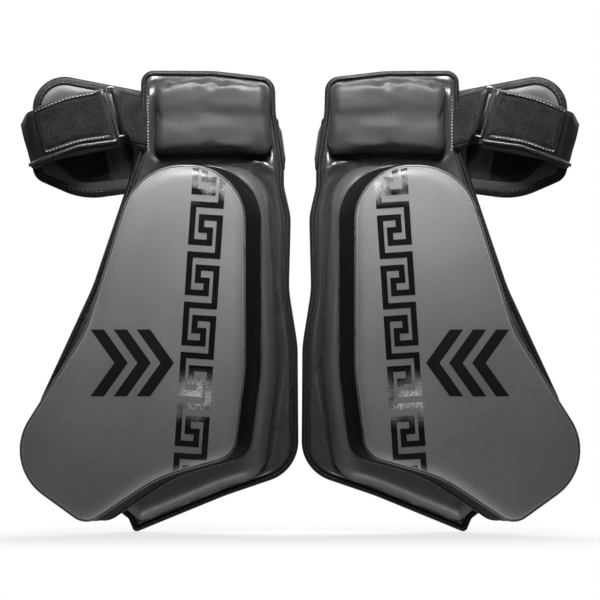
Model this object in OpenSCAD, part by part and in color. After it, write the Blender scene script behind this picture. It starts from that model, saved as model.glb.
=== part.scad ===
// Pair of kick shields worn on a trainer's thighs: a padded base panel, a stepped
// strike block with a flared foot, a hip cushion and a strap-and-ring thigh cuff.
// Both shields stand upright and face -Y. The wearer's right shield is on the -X
// side and is drawn by every module; the left one is its mirror image.

/* [Shield] */
// Height of one shield, from the lowest tip of the base panel to its top edge
shield_h = 503; // [480:1:530]
// Gap between the inner edges of the two shields
pair_gap = 5; // [4:1:60]
// Thickness of the leather skins
skin_t = 1.4; // [0.8:0.1:2]

/* [Base panel] */
// Thickness of the foam sheet in the base panel
base_foam_t = 10; // [6:1:16]
// Thickness of the tape that binds the edge
binding_t = 1.2; // [0.8:0.1:1.6]
// Width of the bound edge, seen from the front
binding_w = 7; // [5:0.5:9]
// Thickness of the comfort pad on the back
rear_pad_t = 8; // [4:1:14]

/* [Hip cushion] */
// Width of the hip cushion
hip_w = 130; // [110:1:134]
// Height of the hip cushion
hip_h = 82; // [70:1:84]
// Depth of the hip cushion
hip_t = 26; // [16:1:34]

/* [Strike block] */
// Depth of the lower tier that the strike block stands on
step_t = 22; // [14:1:30]
// Depth of the strike block itself
strike_t = 45; // [35:1:55]
// How far the strike face stands outboard of the block's foot
strike_lean = 17.5; // [8:0.5:20]
// Width of the sloped edge round the strike face
face_roll = 9; // [5:1:10]
// Diameter of the piping in the strike face's seam
piping_d = 3.2; // [2:0.1:4]

/* [Prints] */
// Width of the key-pattern band on the strike face
key_w = 36; // [28:0.5:38]
// Width of the band's strokes
key_stroke = 6.5; // [4:0.1:6.6]
// Height of one turn of the key pattern
key_pitch = 54.5; // [46:0.5:56]
// Width of the chevron emblem
emblem_w = 86; // [60:1:100]

/* [Thigh cuff] */
// Thickness of the padded wing behind the shield
wing_t = 10; // [8:0.5:10.5]
// Width of the bound edge of the wing
wing_bind_w = 9; // [6:0.5:11]
// Thickness of the strap
strap_t = 3; // [2:0.1:3]
// Lean of the strap, the ring and the tab from the vertical
strap_tilt = 15; // [10:1:18]

/* [Ring] */
// Diameter of the ring's wire
ring_wire = 3; // [2.4:0.1:3]
// Height of the ring, between the centres of its end bars
ring_h = 55; // [54:0.5:60]
// Width of the ring, between the centres of its long bars
ring_w = 7.5; // [7:0.1:8]

/* [Hidden] */
PIECES = [
    "rear_pad", "back_liner", "base_foam", "base_cover", "base_binding",
    "hip_foam", "hip_cover", "step_foam", "step_cover",
    "strike_core", "strike_soft_foam", "strike_gusset", "strike_face", "strike_piping",
    "key_print", "emblem_print",
    "wing_shell", "wing_foam", "wing_lining", "wing_binding", "wing_loop_panel",
    "strap_body", "strap_loop_patch", "strap_tail", "tail_loop_face", "tail_hook_patch",
    "keeper_tab", "tab_patch", "ring"
];

// In-plane sizes below are for a shield 503 mm tall and follow shield_h
k = shield_h / 503;
// Clearance between neighbouring layers
gap = 0.2;
// Largest turn between two points of a rounded corner
arc_step = 11;
$fn = 48;

// Depths, from the back liner at y = 0 towards the front at -y
liner_front = -skin_t;
base_foam_back = liner_front - gap;
base_foam_front = base_foam_back - base_foam_t;
base_front = base_foam_front - gap - skin_t;
step_back = base_front - gap;
step_front = step_back - step_t;
strike_back = step_front - gap;
face_front = strike_back - strike_t;
face_seam = face_front + face_roll + piping_d;
core_front = strike_back - (strike_t - face_roll - piping_d) / 2;
hip_front = step_back - hip_t;
print_t = 0.4;

// Outlines seen from the front as corners [x, z, radius]. x runs from the inner edge.
BASE = [
    [-171, 503, 14], [-90.5, 502.5, 90], [-25, 495, 17], [-24, 456.5, 65],
    [-15, 399, 65], [-15, 376, 45], [-7.5, 343.5, 60], [-9.5, 262.5, 110],
    [0, 202.5, 110], [1, 65.5, 45], [-79.5, 38, 200], [-178.5, -2.5, 5],
    [-185, 13, 7], [-243, 58, 65], [-285.5, 134, 28], [-224.5, 266, 160],
    [-173, 417.5, 65]
];
FACE = [
    [-173, 397, 66], [-57.5, 397, 60], [-57.5, 175.5, 200], [-69.5, 83, 27],
    [-150, 61, 160], [-229, 8.5, 22], [-320, 74.5, 59], [-229, 218, 110]
];
STEP = [
    [-161, 400, 55], [-32.5, 397, 44], [-21.5, 175.5, 160], [-36, 61, 33],
    [-82.5, 47, 200], [-172, 10, 9], [-237.5, 66.5, 55], [-270, 137.5, 33],
    [-214.5, 218, 110]
];
REAR_PAD = [
    [-166, 352, 24], [-40, 352, 24], [-30, 210, 90], [-34, 92, 28],
    [-150, 52, 30], [-222, 118, 34], [-204, 232, 90]
];
WING = [
    [-21.5, 452, 7], [-291, 505, 35], [-291, 386, 18], [-236, 362, 80],
    [-13, 391.5, 7]
];
WING_PANEL = [[-280, 414, 9], [-180, 424, 9], [-180, 386, 9], [-240, 380, 30]];

// Strap outlines in the strap's own tilted frame, as corners [along, up, radius]
STRAP = [
    [0, 26, 0.5], [-42, 29, 120], [-112, 19, 20], [-112, -42, 20],
    [-76, -33, 60], [0, -39, 0.5]
];
TAIL = [
    [-3, 28, 2], [-42, 31, 120], [-80, 26, 6], [-80, -26, 6],
    [-42, -23, 120], [-3, -28, 2]
];

// Cuff centre lines seen from above as [x, y], read from the seam to the wing's end
// and, in the strap's frame, from the wing's end round the curl to the ring
WING_PATH = [[-12, 8], [-95, 9.6], [-170, 18], [-230, 27.5], [-268, 28], [-291, 22], [-301, 12]];
STRAP_PATH = [[-66, 30], [-80, 27], [-90, 21], [-97.5, 6], [-90, -9], [-72, -14.5], [-36, -15], [0, -15]];
STRAP_Y = -15;
// Middle of the strap's end beside the ring
RING_AT = [-205, 455.5];
// Where the wing ends and the strap goes on
WING_END_X = -291;

// Layers of the strap, measured outwards from its centre line
strap_in = -strap_t * 2 / 3;
strap_out = strap_t / 3;
patch_t = 0.8;
loop_d = strap_out + 0.1;
hook_d = loop_d + patch_t + gap;
tail_d = hook_d + patch_t + gap;
tail_t = 2;
velvet_d = tail_d + tail_t + 0.1;

function unit(v) = v / norm(v);
function turned(v, a) = [v.x * cos(a) - v.y * sin(a), v.x * sin(a) + v.y * cos(a)];
function wrap(list, i) = list[(i + len(list)) % len(list)];
function flat(c) = [c.x, c.y];

// Points of one rounded corner p between its neighbours a and b
function corner(a, p, b, r) =
    let (
        u = unit(a - p),
        v = unit(b - p),
        half = acos(u * v) / 2,
        centre = p + unit(u + v) * r / sin(half),
        start = p + u * r / tan(half) - centre,
        turn = 180 - 2 * half,
        way = cross(-u, v) > 0 ? 1 : -1,
        steps = max(1, ceil(turn / arc_step))
    )
    [for (j = [0:steps]) centre + turned(start, way * turn * j / steps)];

// Closed outline through a list of corners [x, z, radius]
function rounded(corners) = [
    for (i = [0:len(corners) - 1])
        each corner(
            flat(wrap(corners, i - 1)), flat(corners[i]), flat(wrap(corners, i + 1)),
            corners[i][2]
        )
] * k;

function area(corners) = [
    for (i = [0:len(corners) - 1]) cross(flat(corners[i]), flat(wrap(corners, i + 1)))
] * [for (c = corners) 0.5];

// The same corners moved inwards by d, with their radii to suit
function moved_in(corners, d) =
    let (side = sign(area(corners)))
    [
        for (i = [0:len(corners) - 1])
            let (
                p = flat(corners[i]),
                before = unit(p - flat(wrap(corners, i - 1))),
                after = unit(flat(wrap(corners, i + 1)) - p),
                n = side * [-before.y, before.x],
                m = side * [-after.y, after.x],
                bulge = side * sign(cross(before, after)),
                at = p + d * (n + m) / (1 + n * m)
            )
            [at.x, at.y, max(0.4, corners[i][2] - bulge * d)]
    ];

// Outline through corners, inset by d; where d is negative it grows
function outline(corners, d = 0) = rounded(moved_in(corners, d / k));

function shifted(points, by) = [for (p = points) p + by];
function reversed(points) = [for (i = [len(points) - 1:-1:0]) points[i]];
// Outlines are listed clockwise, and a loft needs them the other way round
function ring_at(points, y) = [for (p = reversed(points)) [p.x, y, p.y]];

// Smooth open curve through the given points
function spline(points, steps) = [
    for (i = [1:len(points) - 3])
        for (j = [0:steps - 1])
            spline_point([for (n = [-1:2]) points[i + n]], j / steps),
    points[len(points) - 2]
];
function spline_point(p, t) = (
    2 * p[1] + (p[2] - p[0]) * t
    + (2 * p[0] - 5 * p[1] + 4 * p[2] - p[3]) * t * t
    + (3 * p[1] - p[0] - 3 * p[2] + p[3]) * t * t * t
) / 2;
// A curve through all the points, with its first span carried on past the start
function whole_spline(points, steps) = spline(
    concat([2 * points[0] - points[1]], points, [2 * points[len(points) - 1] - points[len(points) - 2]]),
    steps
);

// Open curve moved by d towards the outside of the cuff
function beside(points, d) = [
    for (i = [0:len(points) - 1])
        let (e = unit(points[min(i + 1, len(points) - 1)] - points[max(i - 1, 0)]))
        points[i] + d * [e.y, -e.x]
];

wing_line = [for (p = whole_spline(WING_PATH, 5)) [p.x * k, p.y]];
strap_line = [for (p = whole_spline(STRAP_PATH, 5)) [p.x * k, p.y]];
wing_back = max([for (p = wing_line) p.y]) + wing_t / 2 + gap / 2 + binding_t;

// Flat plate with the given outline between two depths
module slab(points, back, front) {
    translate([0, back, 0])
        rotate([90, 0, 0])
            linear_extrude(back - front)
                polygon(points);
}

// Closed solid skinned over rings of points; the first and last ring are its end faces
module loft(rings) {
    n = len(rings[0]);
    last = len(rings) - 1;
    polyhedron(
        points = [for (r = rings) each r],
        faces = concat(
            [[for (i = [0:n - 1]) i]],
            [for (r = [0:last - 1]) for (i = [0:n - 1]) side_face(r, r + 1, i, n)],
            [[for (i = [n - 1:-1:0]) last * n + i]]
        )
    );
}

// Closed wall whose rings run round its cross-section and meet again
module wall(rings) {
    n = len(rings[0]);
    count = len(rings);
    polyhedron(
        points = [for (r = rings) each r],
        faces = [for (r = [0:count - 1]) for (i = [0:n - 1]) side_face(r, (r + 1) % count, i, n)]
    );
}

function side_face(r, s, i, n) = [r * n + i, s * n + i, s * n + (i + 1) % n, r * n + (i + 1) % n];

// Upright curved band between two distances from a centre line
module band(line, inner, outer, low, high) {
    translate([0, 0, low])
        linear_extrude(high - low)
            polygon(concat(beside(line, inner), reversed(beside(line, outer))));
}

// One layer of the wing, trimmed to an outline
module wing_layer(inner, outer, edge) {
    intersection() {
        band(wing_line, inner, outer, 340 * k, 520 * k);
        slab(edge, 60, -60);
    }
}

// One layer of the strap in its own frame, trimmed to an outline in front of a depth
module strap_layer(inner, outer, edge, back = 0) {
    intersection() {
        band(strap_line, inner, outer, -60 * k, 60 * k);
        slab(edge, back, -60);
    }
}

// Puts a child from the strap's tilted frame into the shield's
module in_strap_frame() {
    translate([RING_AT.x * k, 0, RING_AT.y * k])
        rotate([0, -strap_tilt, 0])
            children();
}

// The pair stands on z = 0, with its origin midway between its front and its back
depth_shift = -(face_front - gap / 2 - print_t + wing_back) / 2;
height_shift = -min([for (p = outline(BASE)) p.y]);

// Puts a right-hand piece beside the middle of the pair
module on_right() {
    translate([-pair_gap / 2, depth_shift, height_shift])
        children();
}

module on_left() {
    mirror([1, 0, 0])
        on_right()
            children();
}

module rear_pad() {
    color("#232326")
        loft([
            ring_at(outline(REAR_PAD, 2), gap + rear_pad_t),
            ring_at(outline(REAR_PAD), gap + rear_pad_t - 2),
            ring_at(outline(REAR_PAD), gap)
        ]);
}

module back_liner() {
    color("#1b1b1d")
        slab(outline(BASE, binding_t + gap / 2), 0, liner_front);
}

module base_foam() {
    color("#55565a")
        slab(outline(BASE, 3), base_foam_back, base_foam_front);
}

module base_cover() {
    color("#1e1f21")
        slab(outline(BASE, binding_t + gap / 2), base_foam_front - gap, base_front);
}

module base_binding() {
    color("#101012")
        difference() {
            slab(outline(BASE), binding_t, base_front - binding_t);
            slab(outline(BASE, binding_w), binding_t + 1, base_front - binding_t - 1);
            slab(outline(BASE, binding_t), gap / 2, base_front - gap / 2);
            // The hip cushion and the step stand on the panel, so the tape stops short of them
            slab(hip_edge(gap), base_front, base_front - 2 * binding_t);
            slab(outline(STEP, -gap), base_front, base_front - 2 * binding_t);
        }
}

// Rounded cushion outline of the hip cushion, grown by a margin
function hip_edge(margin) =
    let (
        left = -157.5 - margin,
        right = left + hip_w + 2 * margin,
        top = 491.5 + margin,
        low = top - hip_h - 2 * margin,
        r = 12 + margin
    )
    rounded([[left, top, r], [right, top - 1, r], [right, low + 2, r], [left, low, r]]);

module hip_foam() {
    color("#55565a")
        loft([
            ring_at(hip_edge(-skin_t - gap), step_back),
            ring_at(hip_edge(-skin_t - gap), hip_front + 10),
            ring_at(hip_edge(-8 - skin_t), hip_front + skin_t + gap)
        ]);
}

module hip_cover() {
    color("#2b2c2f")
        loft([
            ring_at(hip_edge(-8), hip_front + skin_t),
            ring_at(hip_edge(-skin_t), hip_front + 10),
            ring_at(hip_edge(-skin_t), step_back),
            ring_at(hip_edge(0), step_back),
            ring_at(hip_edge(0), hip_front + 9),
            ring_at(hip_edge(-7), hip_front)
        ]);
}

module step_foam() {
    color("#55565a")
        loft([
            ring_at(outline(STEP, skin_t + gap), step_back),
            ring_at(outline(STEP, skin_t + gap + 5), step_front + skin_t + gap)
        ]);
}

module step_cover() {
    color("#1a1b1d")
        loft([
            ring_at(outline(STEP, skin_t + 5), step_front + skin_t),
            ring_at(outline(STEP, skin_t), step_back),
            ring_at(outline(STEP), step_back),
            ring_at(outline(STEP, 5), step_front)
        ]);
}

// Outline of the strike block at depth y, inset by a wall
function block_edge(y, wall_t) =
    let (share = (strike_back - y) / (strike_back - face_seam))
    shifted(outline(FACE, wall_t), [strike_lean * (1 - share), 0]);

module strike_core() {
    color("#3f4044")
        loft([
            for (y = [strike_back, core_front + gap / 2])
                ring_at(block_edge(y, skin_t + gap), y)
        ]);
}

module strike_soft_foam() {
    color("#6a6b70")
        loft([
            for (y = [core_front - gap / 2, face_seam + piping_d + gap])
                ring_at(block_edge(y, skin_t + gap), y)
        ]);
}

module strike_gusset() {
    top = face_seam + piping_d + gap;
    color("#1a1a1c")
        wall([
            ring_at(block_edge(strike_back, 0), strike_back),
            ring_at(block_edge(top, 0), top),
            ring_at(block_edge(top, skin_t), top),
            ring_at(block_edge(strike_back, skin_t), strike_back)
        ]);
}

module strike_piping() {
    color("#2a2b2e")
        difference() {
            slab(outline(FACE), face_seam + piping_d, face_seam);
            slab(outline(FACE, piping_d), face_seam + piping_d + 1, face_seam - 1);
        }
}

module strike_face() {
    seam_y = face_seam - gap;
    color("#77787a")
        loft([
            ring_at(outline(FACE, 0.3), seam_y),
            ring_at(outline(FACE, face_roll), face_front)
        ]);
}

// One turn of the key pattern on a 3 by 4 grid, as the corners of its middle line
KEY = [[3, 4], [0, 4], [0, 1], [2, 1], [2, 2], [1, 2], [1, 3], [3, 3], [3, 0]];

module key_turn() {
    column = (key_w - key_stroke) / 3;
    row = key_pitch / 4;
    for (i = [0:len(KEY) - 2]) {
        a = KEY[i];
        b = KEY[i + 1];
        low = [min(a.x, b.x) * column, min(a.y, b.y) * row];
        size = [abs(a.x - b.x) * column, abs(a.y - b.y) * row];
        translate(low - [1, 1] * key_stroke / 2)
            square(size + [1, 1] * key_stroke);
    }
}

module key_print() {
    turns = 6;
    lean = 3.8;
    column = (key_w - key_stroke) / 3;
    color("#0d0d0f")
        intersection() {
            translate([-104.9 * k, face_front - gap / 2, 246 * k])
                rotate([90, lean, 0])
                    linear_extrude(print_t)
                        translate([-1.5 * column, -turns / 2 * key_pitch])
                            for (i = [-1:turns])
                                translate([0, i * key_pitch])
                                    key_turn();
            slab(outline(FACE, face_roll + 1), face_front + 1, face_front - 2);
        }
}

// Three nested chevrons that point at the inner edge
module emblem_print() {
    bar = emblem_w * 0.17;
    step = emblem_w * 0.29;
    reach = emblem_w * 0.30;
    half = emblem_w * 0.42;
    color("#0d0d0f")
        translate([-186 * k, face_front - gap / 2, 184 * k])
            rotate([90, 0, 0])
                linear_extrude(print_t)
                    for (i = [-1:1])
                        translate([i * step - reach / 2, 0])
                            polygon([
                                [0, half], [bar, half], [bar + reach, 0], [bar, -half],
                                [0, -half], [reach, 0]
                            ]);
}

module wing_shell() {
    color("#1d1e20")
        wing_layer(wing_t / 2 - skin_t, wing_t / 2, outline(WING, binding_t + gap / 2));
}

module wing_foam() {
    inner = wing_t / 2 - skin_t - gap;
    color("#55565a")
        wing_layer(-inner, inner, outline(WING, 3));
}

module wing_lining() {
    color("#4a4b4e")
        wing_layer(-wing_t / 2, skin_t - wing_t / 2, outline(WING, binding_t + gap / 2));
}

module wing_binding() {
    inner = wing_t / 2 + gap / 2;
    color("#141416")
        difference() {
            wing_layer(-inner - binding_t, inner + binding_t, outline(WING));
            wing_layer(-inner - 2 * binding_t, inner + 2 * binding_t, outline(WING, wing_bind_w));
            wing_layer(-inner, inner, outline(WING, binding_t));
        }
}

module wing_loop_panel() {
    color("#2c2c2e")
        wing_layer(-wing_t / 2 - gap / 2 - patch_t, -wing_t / 2 - gap / 2, rounded(WING_PANEL));
}

module strap_body() {
    color("#1c1817")
        difference() {
            in_strap_frame()
                strap_layer(strap_in, strap_out, outline(STRAP), 60);
            translate([(WING_END_X - gap) * k, 10, 340 * k])
                cube([120, 60, 180] * k);
        }
}

module strap_loop_patch() {
    edge = rounded([[-14, 24, 2], [-70, 22, 2], [-70, -22, 2], [-14, -20, 2]]);
    color("#2c2c2e")
        in_strap_frame()
            strap_layer(loop_d, loop_d + patch_t, edge);
}

module tail_hook_patch() {
    edge = rounded([[-16, 20, 2], [-70, 20, 2], [-70, -18, 2], [-16, -18, 2]]);
    color("#18181a")
        in_strap_frame()
            strap_layer(hook_d, hook_d + patch_t, edge);
}

module strap_tail() {
    color("#1c1b1c")
        in_strap_frame()
            strap_layer(tail_d, tail_d + tail_t, outline(TAIL));
}

module tail_loop_face() {
    color("#2f2f31")
        in_strap_frame()
            strap_layer(velvet_d, velvet_d + patch_t, outline(TAIL, 4));
}

// Places of the ring's two long bars in the strap's frame
outer_bar_x = 2.8;
inner_bar_x = outer_bar_x + ring_w;
ring_y = STRAP_Y - 1.5;

module ring() {
    r = ring_wire / 2;
    color("#b9bcc0")
        in_strap_frame()
            translate([0, ring_y, 0]) {
                for (x = [outer_bar_x, inner_bar_x])
                    translate([x, 0, -ring_h / 2])
                        cylinder(r = r, h = ring_h);
                for (z = [-ring_h / 2, ring_h / 2]) {
                    translate([outer_bar_x, 0, z])
                        rotate([0, 90, 0])
                            cylinder(r = r, h = ring_w);
                    for (x = [outer_bar_x, inner_bar_x])
                        translate([x, 0, z])
                            sphere(r = r);
                }
            }
}

// Half the height of the keeper tab, inside the ring
tab_half = ring_h / 2 - ring_wire / 2 - 2.5;
// Fall of the tab for each mm towards the shield, in the strap's frame
tab_fall = 0.6;
fold_r = 3;

// Lets a child drop from the ring's inner bar towards the shield
module falling() {
    multmatrix([
        [1, 0, 0, 0], [0, 1, 0, 0], [-tab_fall, 0, 1, tab_fall * inner_bar_x]
    ])
        children();
}

// Section of the tab: a fold round the ring's inner bar and a strip to the base panel
module tab_section() {
    difference() {
        union() {
            translate([inner_bar_x, ring_y])
                circle(r = fold_r);
            polygon([
                [inner_bar_x, ring_y - fold_r],
                [inner_bar_x + 34, ring_y + 4.5],
                [inner_bar_x + 34, ring_y + 8.5],
                [inner_bar_x, ring_y + fold_r]
            ]);
        }
        translate([inner_bar_x, ring_y])
            circle(r = ring_wire / 2 + 0.08);
    }
}

module keeper_tab() {
    color("#1c1b1c")
        difference() {
            in_strap_frame()
                falling()
                    translate([0, 0, -tab_half])
                        linear_extrude(2 * tab_half)
                            tab_section();
            slab(outline(BASE, -gap), 30, -40);
        }
}

module tab_patch() {
    slope = atan2(4.5 + fold_r, 34);
    color("#2f2f31")
        difference() {
            in_strap_frame()
                falling()
                    translate([inner_bar_x, ring_y - fold_r, 0])
                        rotate([0, 0, slope])
                            translate([4, -gap / 2 - patch_t, 2 - tab_half])
                                cube([30, patch_t, 2 * tab_half - 4]);
            slab(outline(BASE, -1.5), 30, -40);
        }
}

module right_rear_pad() { on_right() rear_pad(); }
module right_back_liner() { on_right() back_liner(); }
module right_base_foam() { on_right() base_foam(); }
module right_base_cover() { on_right() base_cover(); }
module right_base_binding() { on_right() base_binding(); }
module right_hip_foam() { on_right() hip_foam(); }
module right_hip_cover() { on_right() hip_cover(); }
module right_step_foam() { on_right() step_foam(); }
module right_step_cover() { on_right() step_cover(); }
module right_strike_core() { on_right() strike_core(); }
module right_strike_soft_foam() { on_right() strike_soft_foam(); }
module right_strike_gusset() { on_right() strike_gusset(); }
module right_strike_face() { on_right() strike_face(); }
module right_strike_piping() { on_right() strike_piping(); }
module right_key_print() { on_right() key_print(); }
module right_emblem_print() { on_right() emblem_print(); }
module right_wing_shell() { on_right() wing_shell(); }
module right_wing_foam() { on_right() wing_foam(); }
module right_wing_lining() { on_right() wing_lining(); }
module right_wing_binding() { on_right() wing_binding(); }
module right_wing_loop_panel() { on_right() wing_loop_panel(); }
module right_strap_body() { on_right() strap_body(); }
module right_strap_loop_patch() { on_right() strap_loop_patch(); }
module right_strap_tail() { on_right() strap_tail(); }
module right_tail_loop_face() { on_right() tail_loop_face(); }
module right_tail_hook_patch() { on_right() tail_hook_patch(); }
module right_keeper_tab() { on_right() keeper_tab(); }
module right_tab_patch() { on_right() tab_patch(); }
module right_ring() { on_right() ring(); }

module left_rear_pad() { on_left() rear_pad(); }
module left_back_liner() { on_left() back_liner(); }
module left_base_foam() { on_left() base_foam(); }
module left_base_cover() { on_left() base_cover(); }
module left_base_binding() { on_left() base_binding(); }
module left_hip_foam() { on_left() hip_foam(); }
module left_hip_cover() { on_left() hip_cover(); }
module left_step_foam() { on_left() step_foam(); }
module left_step_cover() { on_left() step_cover(); }
module left_strike_core() { on_left() strike_core(); }
module left_strike_soft_foam() { on_left() strike_soft_foam(); }
module left_strike_gusset() { on_left() strike_gusset(); }
module left_strike_face() { on_left() strike_face(); }
module left_strike_piping() { on_left() strike_piping(); }
module left_key_print() { on_left() key_print(); }
module left_emblem_print() { on_left() emblem_print(); }
module left_wing_shell() { on_left() wing_shell(); }
module left_wing_foam() { on_left() wing_foam(); }
module left_wing_lining() { on_left() wing_lining(); }
module left_wing_binding() { on_left() wing_binding(); }
module left_wing_loop_panel() { on_left() wing_loop_panel(); }
module left_strap_body() { on_left() strap_body(); }
module left_strap_loop_patch() { on_left() strap_loop_patch(); }
module left_strap_tail() { on_left() strap_tail(); }
module left_tail_loop_face() { on_left() tail_loop_face(); }
module left_tail_hook_patch() { on_left() tail_hook_patch(); }
module left_keeper_tab() { on_left() keeper_tab(); }
module left_tab_patch() { on_left() tab_patch(); }
module left_ring() { on_left() ring(); }

right_rear_pad();
right_back_liner();
right_base_foam();
right_base_cover();
right_base_binding();
right_hip_foam();
right_hip_cover();
right_step_foam();
right_step_cover();
right_strike_core();
right_strike_soft_foam();
right_strike_gusset();
right_strike_face();
right_strike_piping();
right_key_print();
right_emblem_print();
right_wing_shell();
right_wing_foam();
right_wing_lining();
right_wing_binding();
right_wing_loop_panel();
right_strap_body();
right_strap_loop_patch();
right_strap_tail();
right_tail_loop_face();
right_tail_hook_patch();
right_keeper_tab();
right_tab_patch();
right_ring();
left_rear_pad();
left_back_liner();
left_base_foam();
left_base_cover();
left_base_binding();
left_hip_foam();
left_hip_cover();
left_step_foam();
left_step_cover();
left_strike_core();
left_strike_soft_foam();
left_strike_gusset();
left_strike_face();
left_strike_piping();
left_key_print();
left_emblem_print();
left_wing_shell();
left_wing_foam();
left_wing_lining();
left_wing_binding();
left_wing_loop_panel();
left_strap_body();
left_strap_loop_patch();
left_strap_tail();
left_tail_loop_face();
left_tail_hook_patch();
left_keeper_tab();
left_tab_patch();
left_ring();
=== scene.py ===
"""Looks for a pair of kick shields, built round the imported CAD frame.

Everything is drawn in millimetres for the wearer's right shield, on the -X side, and mirrored for the
left one. The outlines repeat the CAD's corner lists; depths and offsets come from the CAD nodes' boxes.
"""

import math

import bmesh
import bpy
import numpy as np
from mathutils import Matrix, Vector, geometry, noise

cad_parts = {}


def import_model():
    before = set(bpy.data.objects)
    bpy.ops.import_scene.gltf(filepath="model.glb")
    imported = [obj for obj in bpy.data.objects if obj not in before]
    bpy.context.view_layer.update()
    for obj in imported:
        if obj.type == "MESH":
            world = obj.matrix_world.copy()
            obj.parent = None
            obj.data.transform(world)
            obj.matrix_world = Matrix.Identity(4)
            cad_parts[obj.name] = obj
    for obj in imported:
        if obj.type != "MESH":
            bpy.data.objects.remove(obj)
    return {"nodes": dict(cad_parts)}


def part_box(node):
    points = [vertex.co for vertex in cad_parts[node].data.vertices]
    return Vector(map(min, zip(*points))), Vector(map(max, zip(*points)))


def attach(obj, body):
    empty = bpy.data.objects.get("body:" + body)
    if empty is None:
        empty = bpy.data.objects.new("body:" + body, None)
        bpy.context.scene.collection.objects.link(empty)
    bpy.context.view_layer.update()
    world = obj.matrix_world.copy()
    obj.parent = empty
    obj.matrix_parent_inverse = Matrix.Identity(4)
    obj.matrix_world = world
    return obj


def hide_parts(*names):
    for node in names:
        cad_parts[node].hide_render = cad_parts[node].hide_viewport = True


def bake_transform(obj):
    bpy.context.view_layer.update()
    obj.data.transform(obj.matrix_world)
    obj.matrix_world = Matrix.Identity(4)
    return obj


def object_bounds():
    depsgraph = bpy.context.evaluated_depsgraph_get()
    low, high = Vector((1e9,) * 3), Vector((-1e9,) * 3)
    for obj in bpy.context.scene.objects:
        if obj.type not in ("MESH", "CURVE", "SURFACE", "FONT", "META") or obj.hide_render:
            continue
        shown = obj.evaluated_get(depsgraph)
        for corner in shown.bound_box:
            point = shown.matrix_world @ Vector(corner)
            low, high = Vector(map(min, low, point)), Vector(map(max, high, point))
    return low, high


CAD_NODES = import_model()["nodes"]
CAD_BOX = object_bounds()
MM = 0.001

# Outlines seen from the front as corners (x, z, radius); x runs from a shield's inner edge
BASE = [
    (-171, 503, 14), (-90.5, 502.5, 90), (-25, 495, 17), (-24, 456.5, 65),
    (-15, 399, 65), (-15, 376, 45), (-7.5, 343.5, 60), (-9.5, 262.5, 110),
    (0, 202.5, 110), (1, 65.5, 45), (-79.5, 38, 200), (-178.5, -2.5, 5),
    (-185, 13, 7), (-243, 58, 65), (-285.5, 134, 28), (-224.5, 266, 160),
    (-173, 417.5, 65),
]
FACE = [
    (-173, 397, 66), (-57.5, 397, 60), (-57.5, 175.5, 200), (-69.5, 83, 27),
    (-150, 61, 160), (-229, 8.5, 22), (-320, 74.5, 59), (-229, 218, 110),
]
STEP = [
    (-161, 400, 55), (-32.5, 397, 44), (-21.5, 175.5, 160), (-36, 61, 33),
    (-82.5, 47, 200), (-172, 10, 9), (-237.5, 66.5, 55), (-270, 137.5, 33),
    (-214.5, 218, 110),
]
HIP = [
    (-157.5, 488, 10), (-128, 496, 30), (-90.5, 496.5, 90), (-30.5, 489.5, 13), (-29.5, 456.5, 65),
    (-25, 410.5, 12), (-157.5, 409.5, 12),
]
REAR_PAD = [
    (-166, 352, 24), (-40, 352, 24), (-30, 210, 90), (-34, 92, 28),
    (-150, 52, 30), (-222, 118, 34), (-204, 232, 90),
]
WING = [
    (-21.5, 452, 7), (-291, 505, 35), (-291, 386, 18), (-236, 362, 80),
    (-13, 391.5, 7),
]
WING_PANEL = [(-280, 414, 9), (-180, 424, 9), (-180, 386, 9), (-240, 380, 30)]
# Strap outlines in the strap's tilted frame, as corners (along, up, radius)
STRAP = [
    (0, 26, 0.5), (-42, 29, 120), (-112, 19, 20), (-112, -42, 20),
    (-76, -33, 60), (0, -39, 0.5),
]
TAIL = [
    (-3, 28, 2), (-42, 31, 120), (-80, 26, 6), (-80, -26, 6),
    (-42, -23, 120), (-3, -28, 2),
]
# Cuff centre lines seen from above
WING_PATH = [(-12, 8), (-95, 9.6), (-170, 18), (-230, 27.5), (-268, 28), (-291, 22), (-301, 12)]
STRAP_PATH = [
    (-66, 30), (-80, 27), (-90, 21), (-97.5, 6), (-90, -9), (-72, -14.5), (-36, -15), (0, -15),
]
RING_AT = (-205, 455.5)
TILT = math.radians(15)
# Greek-key band: line width, column width and height of one turn, its lean, and its middle (x, z)
STROKE, KEY_WIDTH, KEY_PITCH, KEY_LEAN = 6.5, 36, 54.5, math.radians(3.8)
KEY_AT = (-104.9, 246)
# Chevrons: size and middle (x, z)
CHEVRON_SIZE, CHEVRON_AT = 86.0, (-186, 184)


# ---------------- plane geometry

def unit(v):
    return v / np.linalg.norm(v)


def cross2(a, b):
    return a[0] * b[1] - a[1] * b[0]


def rounded(corners, turn_step=math.radians(3)):
    """Closed outline through corners, as points [x, z]; the count depends on the turns only."""
    points = []
    n = len(corners)
    for i, (x, z, radius) in enumerate(corners):
        p = np.array((x, z), float)
        u = unit(np.array(corners[i - 1][:2]) - p)
        v = unit(np.array(corners[(i + 1) % n][:2]) - p)
        half = math.acos(np.clip(u @ v, -1, 1)) / 2
        centre = p + unit(u + v) * radius / math.sin(half)
        start = p + u * radius / math.tan(half) - centre
        turn = math.pi - 2 * half
        way = 1 if cross2(-u, v) > 0 else -1
        steps = max(1, math.ceil(turn / turn_step))
        for j in range(steps + 1):
            a = way * turn * j / steps
            c, s = math.cos(a), math.sin(a)
            points.append(centre + (start[0] * c - start[1] * s, start[0] * s + start[1] * c))
    return np.array(points)


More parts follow.
